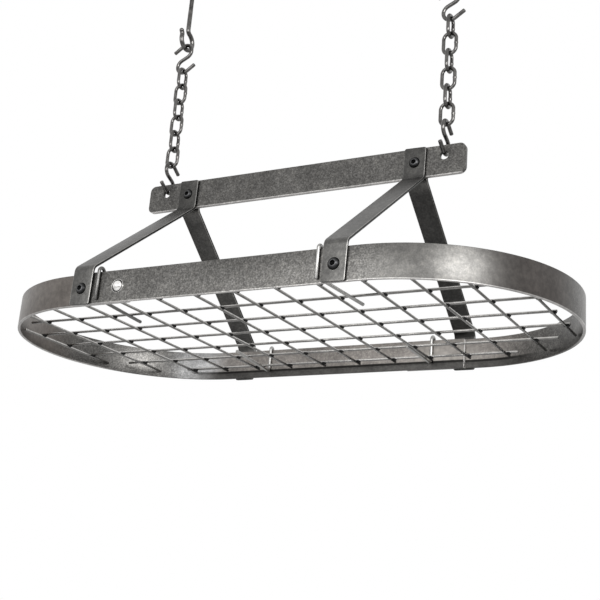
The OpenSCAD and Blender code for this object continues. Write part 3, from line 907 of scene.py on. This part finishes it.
class POTRACK_OT_supports(RackOperator, bpy.types.Operator):
    """Bends the four rods that clip over the oval and carry the grid"""

    bl_idname = "potrack.supports"
    bl_label = "Grid Supports"

    def execute(self, context):
        # Painted shade on the front left rod
        steel = smooth_steel("rod_steel", colours().rod, roughness=0.3, mottle=0.15,
                             painted_shade=(SHADED_FRONT_LEFT_ROD, 0.4))
        r = sizes().support_rod / 2
        arm_z = high("grid")[2] - sizes().grid_wire - r - ROD_UNDER_GRID
        top = RACK_Z + BAND_H + ROD_ROOM
        outer = -r - ROD_ROOM
        for name, (x, face, layers, end, turn) in SUPPORTS.items():
            inner = layers * BAND_T + r + ROD_ROOM
            line = route(((outer, RACK_Z + ROD_FOOT), (outer, top)),
                         (((outer + inner) / 2, top), (inner - outer) / 2, 180, 0),
                         ((inner, top), (inner, arm_z + ROD_BEND)),
                         ((inner + ROD_BEND, arm_z + ROD_BEND), ROD_BEND, 180, 270),
                         ((inner + ROD_BEND, arm_z), (abs(face) - end, arm_z)))
            a = np.radians(turn - np.sign(face) * 90)
            inward = np.array([np.cos(a), np.sin(a), 0])
            make_object(f"{name}_rod", [wire(line, (inward, Z), (x, face, 0), r, tip=0.3)],
                        steel, "rack", [name])
        return {"FINISHED"}


def link_line(bend, top, bottom):
    """Closed centre line of a link: two half circles and straights, close rows at the weld."""
    knots = [bottom, *(bottom + BEAD_KNOTS * (top - bottom)), top - 0.1 * MM]
    welded = [((bend, a), (bend, b)) for a, b in zip(knots[::2], knots[1::2])]
    return route(((0, top), bend, 0, 180), ((0, bottom), bend, 180, 360), *welded)


def weld_swell(line, bend, middle):
    """How much thicker a link's wire is at each point: a bell curve at the weld.

    On the welded side it is 1 + BEAD_SWELL * exp(-(height from the middle / BEAD_SPREAD)
    squared), and 1 elsewhere.
    """
    from_weld = (line[:, 1] - middle) / BEAD_SPREAD
    welded_side = line[:, 0] > bend * 0.9
    return 1 + BEAD_SWELL * np.exp(-from_weld ** 2) * welded_side


class POTRACK_OT_chains(RackOperator, bpy.types.Operator):
    """Forms the welded chain links of both chains"""

    bl_idname = "potrack.chains"
    bl_label = "Chains"

    def execute(self, context):
        steel = chain_steel()
        r = sizes().link_wire / 2
        for side, sign in SIDES.items():
            for i in range(1, LINKS + 1):
                name = f"chain_{side}_{i}"
                lo, hi = low(name), high(name)
                facing_front = i % 2 == 0
                wide = hi[0] - lo[0] if facing_front else hi[1] - lo[1]
                bend = wide / 2 - r
                top, bottom = hi[2] - r - bend, lo[2] + r + bend
                line = link_line(bend, top, bottom)
                _, normals = directions(line, closed=True)
                swell = weld_swell(line, bend, (top + bottom) / 2)
                shell = sweep_in_plane(line, normals, XZ if facing_front else YZ,
                                       (sign * CHAIN_X, 0, 0),
                                       swell[:, None, None] * ring(r)[None], closed=True)
                make_object(f"{name}_link", [shell], steel, f"link_{side}_{i}",
                            [name])
        return {"FINISHED"}


def s_hook_line(bend, offset):
    """Centre line of an S-hook: half of it, and the same half turned about the middle.

    Each half is a straight tip and an arc round a centre offset below the middle, up to
    where the tangent goes through the middle, at arccosine (bend / offset).
    """
    cross_angle = 90 + np.degrees(np.arccos(bend / offset))
    tip_angle = 270 + S_TIP_ANGLE
    a = np.radians(tip_angle)
    tip = np.array([bend * np.cos(a), -offset + bend * np.sin(a)])
    outwards = np.array([np.cos(a + np.pi / 2), np.sin(a + np.pi / 2)])
    half = route((tip + outwards * S_TIP, tip), ((0, -offset), bend, tip_angle, cross_angle))
    return np.concatenate([half, -half[::-1]])


class POTRACK_OT_s_hooks(RackOperator, bpy.types.Operator):
    """Bends the four S-hooks"""

    bl_idname = "potrack.s_hooks"
    bl_label = "S-Hooks"

    def execute(self, context):
        r, bend = sizes().hook_wire / 2, sizes().hook_radius
        for level, plane in (("upper", XZ), ("lower", (-Y, Z))):
            for side, sign in SIDES.items():
                name = f"{level}_s_hook_{side}"
                bottom, top = low(name)[2] + r, high(name)[2] - r
                middle = np.array([sign * CHAIN_X, 0, (bottom + top) / 2])
                line = s_hook_line(bend, (top - bottom) / 2 - bend)
                make_object(f"{name}_wire", [wire(line, plane, middle, r, tip=0.45)],
                            chain_steel(), name, [name])
        return {"FINISHED"}


class POTRACK_OT_ceiling_hooks(RackOperator, bpy.types.Operator):
    """Gives the ceiling screw hooks their finish"""

    bl_idname = "potrack.ceiling_hooks"
    bl_label = "Ceiling Hooks"

    def execute(self, context):
        for side in SIDES:
            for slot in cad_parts[f"ceiling_hook_{side}"].material_slots:
                slot.material = chain_steel()
        return {"FINISHED"}


def dome_rows(radius, height, inner, count=7):
    """Rings of a spherical cap from its rim in to the inner radius.

    The ball's radius is (radius squared + height squared) / (2 * height).
    """
    ball = (radius ** 2 + height ** 2) / (2 * height)
    r = np.linspace(radius, inner, count)
    return [(q, height - ball + np.sqrt(ball ** 2 - q ** 2), 0) for q in r]


def screw_rows(reach):
    """Rings of a screw from its shank's end, reach behind the head, to its socket's floor."""
    head, shank, chamfer = 7 * MM, 4 * MM, 0.5 * MM
    mouth, socket_lip, socket = 3.3 * MM, 2.95 * MM, 2.8 * MM
    floor = SCREW_HEAD_H - 2.6 * MM
    rows = [(shank - chamfer, -reach, 0), (shank, chamfer - reach, 0), (shank, 0, 0),
            (head - 0.4 * MM, 0, 0), (head, 0.3 * MM, 0)]
    rows += [row for row in dome_rows(head, SCREW_HEAD_H, mouth) if row[1] > 0.4 * MM]
    lip = rows[-1][1]
    return rows + [(socket_lip, lip - 0.05 * MM, 6), (socket, lip - 0.35 * MM, 6),
                   (socket, floor, 6), (1.2 * MM, floor, 0)]


def joint_cap_rows():
    """Rings of a joint bolt's domed cap, standing on its seat."""
    cap, dome_h, foot = 6.4 * MM, 3.9 * MM, 0.9 * MM
    dome = dome_rows(cap, dome_h, 0.6 * MM, 9)
    return [(cap - 0.4 * MM, 0.2 * MM, 0), (cap, 0.6 * MM, 0)] + [
        (q, h + foot, 0) for q, h, _ in dome]


def joint_seat_rows(reach):
    """Rings of a joint bolt's shank, thin rim and sunk seat."""
    rim, rim_h, shank, chamfer = 8 * MM, 0.9 * MM, 4 * MM, 0.5 * MM
    sunk, sunk_h = 7.2 * MM, 0.25 * MM
    return [(shank - chamfer, -reach, 0), (shank, chamfer - reach, 0), (shank, 0, 0),
            (rim - 0.1 * MM, 0, 0), (rim, 0.2 * MM, 0), (rim, rim_h - 0.2 * MM, 0),
            (rim - 0.3 * MM, rim_h, 0), (sunk + 0.2 * MM, rim_h - 0.2 * MM, 0),
            (sunk, sunk_h, 0), (2 * MM, sunk_h, 0)]


def head_seat(name, head_h):
    """Where a screw's head sits, the direction it points and how far its shank reaches."""
    lo, hi = low(name), high(name)
    facing = FACES["back" if "back" in name else "front"]
    face = hi[1] - head_h if facing > 0 else lo[1] + head_h
    return ((lo[0] + hi[0]) / 2, face, (lo[2] + hi[2]) / 2), facing * Y, hi[1] - lo[1] - head_h


def ring_painted_light(tones):
    """The same painted light for all points of each ring, and painted shade at the end points."""
    return np.r_[np.repeat(tones, TURNED_SIDES), 0, 0]


class POTRACK_OT_fasteners(RackOperator, bpy.types.Operator):
    """Turns the screws and joint bolts and gives the nuts their finish"""

    bl_idname = "potrack.fasteners"
    bl_label = "Fasteners"

    def execute(self, context):
        c = colours()
        # Painted light on the turned pieces: painted shade on screw rims, in sockets and in bolt
        # seats, a painted highlight on screw lips
        black = smooth_steel("black_oxide", c.screw, roughness=0.38, mottle=0.2,
                             edges=(0.02, 0.55))
        nut = smooth_steel("nut_steel", c.screw, roughness=0.3, mottle=0.2)
        nickel = smooth_steel("bright_nickel", c.nickel, roughness=0.1, mottle=0.03)
        seat = smooth_steel("bolt_seat", scaled(c.nickel, 0.75), roughness=0.25, mottle=0.1,
                            edges=(0.01, 0.5))
        for name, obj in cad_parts.items():
            if name.startswith("bar_nut"):
                obj.material_slots[0].material = nut
            elif name.startswith(("screw_", "bar_bolt")):
                at, axis, reach = head_seat(name, SCREW_HEAD_H)
                make_object(f"{name}_turned", [turned_piece(at, axis, screw_rows(reach))],
                            black, "rack", [name], ring_painted_light(HEAD_PAINTED_LIGHT))
            elif name.startswith("joint_bolt"):
                at, axis, reach = head_seat(name, JOINT_HEAD_H)
                make_object(f"{name}_turned", [turned_piece(at, axis, joint_seat_rows(reach))],
                            seat, "rack", [name], ring_painted_light(SEAT_PAINTED_SHADE))
                make_object(f"{name}_cap", [turned_piece(at, axis, joint_cap_rows())],
                            nickel, "rack")
        return {"FINISHED"}


# ------------------ stage

WORLD_STRENGTH = (0.75, 1.0)  # where it only lights, and where it is seen or mirrored
FLOOR_GREY = 0.82
FLOOR_HALF = 12.0
FLOOR_Z = -1.9
# Lamps: place, size, power in watts
LAMPS = {
    "key": ((1.7, -1.46, 0.1), (0.9, 0.9), 30),
    "front": ((-0.2, -2.2, -0.25), (1.8, 1.0), 17),
}
LAMP_AIM = (0.1, -0.05, -0.4)

# Camera: place above the oval's bottom edge, aim in radians, 36 mm sensor
CAMERA_AT = np.array([670.4, -1142.9, -354.9]) * MM
CAMERA_AIM = (-0.5078, 0.3173, 0.0789)
CAMERA_LENS = 68.47
CAMERA_SHIFT = (-0.0228, -0.0379)


def unit(vector):
    """A vector divided by its length."""
    return vector / np.linalg.norm(vector)


def basis(x, y, z, at):
    """A 4 by 4 matrix with these columns."""
    m = np.eye(4)
    m[:3] = np.stack([x, y, z, at], -1)
    return Matrix(m.tolist())


def seen_or_mirrored(tree):
    """1 for the camera's rays and for those reflected or passed by metal and glass."""
    rays = tree.nodes.new("ShaderNodeLightPath").outputs
    out = combine(tree, rays["Is Camera Ray"], rays["Is Glossy Ray"])
    return combine(tree, out, rays["Is Transmission Ray"])


class POTRACK_OT_stage(RackOperator, bpy.types.Operator):
    """Sets the floor, the white surround, the lamps and the camera"""

    bl_idname = "potrack.stage"
    bl_label = "Stage"

    def execute(self, context):
        context.scene.view_settings.view_transform = "Standard"
        self.surround(context.scene)
        self.floor()
        for name, (at, size, power) in LAMPS.items():
            self.lamp(name, at, size, power)
        self.camera(context.scene)
        return {"FINISHED"}

    def surround(self, scene):
        """A white world, a little weaker where it only lights."""
        world = bpy.data.worlds.new("surround")
        scene.world = world
        world.use_nodes = True
        tree = world.node_tree
        back = tree.nodes["Background"]
        back.inputs["Color"].default_value = (1, 1, 1, 1)
        strength = node(tree, "ShaderNodeMapRange")
        strength.inputs["To Min"].default_value = WORLD_STRENGTH[0]
        strength.inputs["To Max"].default_value = WORLD_STRENGTH[1]
        tree.links.new(seen_or_mirrored(tree), strength.inputs["Value"])
        tree.links.new(strength.outputs["Result"], back.inputs["Strength"])

    def floor(self):
        """A plain pale floor well below the rack."""
        corners = [[-FLOOR_HALF, -FLOOR_HALF, FLOOR_Z], [FLOOR_HALF, -FLOOR_HALF, FLOOR_Z],
                   [FLOOR_HALF, FLOOR_HALF, FLOOR_Z], [-FLOOR_HALF, FLOOR_HALF, FLOOR_Z]]
        mesh = bpy.data.meshes.new("floor")
        mesh.from_pydata(corners, [], [[0, 1, 2, 3]])
        mesh.materials.append(new_material("floor_pale", grey(FLOOR_GREY), 0.0, 0.8)[0])
        obj = bpy.data.objects.new("floor", mesh)
        bpy.context.scene.collection.objects.link(obj)

    def lamp(self, name, at, size, power):
        """A wide soft lamp at a place, aimed at the oval's middle."""
        data = bpy.data.lights.new(name, "AREA")
        data.shape = "RECTANGLE"
        data.size, data.size_y = size
        data.energy = power
        obj = bpy.data.objects.new(name, data)
        away = unit(np.array(at) - LAMP_AIM)
        right = unit(np.cross(Z, away))
        obj.matrix_world = basis(right, np.cross(away, right), away, at)
        bpy.context.scene.collection.objects.link(obj)

    def camera(self, scene):
        """The photograph's camera: its aim as azimuth, elevation and roll."""
        az, el, roll = CAMERA_AIM
        ahead = np.array([np.sin(az) * np.cos(el), np.cos(az) * np.cos(el), np.sin(el)])
        right = np.array([np.cos(az), -np.sin(az), 0])
        up = np.cross(right, ahead)
        right, up = (right * np.cos(roll) + up * np.sin(roll),
                     up * np.cos(roll) - right * np.sin(roll))
        data = bpy.data.cameras.new("camera")
        data.sensor_width = 36
        data.lens = CAMERA_LENS
        data.shift_x, data.shift_y = CAMERA_SHIFT
        data.clip_start, data.clip_end = 0.05, 50
        obj = bpy.data.objects.new("camera", data)
        obj.matrix_world = basis(right, up, -ahead, CAMERA_AT + np.array([0, 0, RACK_Z]))
        scene.collection.objects.link(obj)
        scene.camera = obj


# ------------------ add-on

STEPS = (POTRACK_OT_frame, POTRACK_OT_straps, POTRACK_OT_grid, POTRACK_OT_supports,
         POTRACK_OT_chains, POTRACK_OT_s_hooks, POTRACK_OT_ceiling_hooks,
         POTRACK_OT_fasteners, POTRACK_OT_stage)


class POTRACK_PT_panel(bpy.types.Panel):
    """Lists the rack's sizes, colours and steps in the 3D view's sidebar"""

    bl_label = "Pot Rack"
    bl_idname = "POTRACK_PT_panel"
    bl_space_type = "VIEW_3D"
    bl_region_type = "UI"
    bl_category = "Pot Rack"

    def draw(self, context):
        for settings in (context.scene.rack_sizes, context.scene.rack_colours):
            box = self.layout.box()
            for key in settings.__annotations__:
                box.prop(settings, key)
        for step in STEPS:
            self.layout.operator(step.bl_idname)


CLASSES = (RackSizes, RackColours) + STEPS + (POTRACK_PT_panel,)


def register():
    """Registers the classes and the scene's settings."""
    for cls in CLASSES:
        bpy.utils.register_class(cls)
    bpy.types.Scene.rack_sizes = bpy.props.PointerProperty(type=RackSizes)
    bpy.types.Scene.rack_colours = bpy.props.PointerProperty(type=RackColours)


def unregister():
    """Takes away what register added."""
    del bpy.types.Scene.rack_colours
    del bpy.types.Scene.rack_sizes
    for cls in reversed(CLASSES):
        bpy.utils.unregister_class(cls)


def main():
    """Builds every piece in order."""
    register()
    for step in STEPS:
        group, name = step.bl_idname.split(".")
        result = getattr(getattr(bpy.ops, group), name)()
        if "FINISHED" not in result:
            raise RuntimeError(f"{step.bl_label} did not finish")


if __name__ == "__main__":
    main()
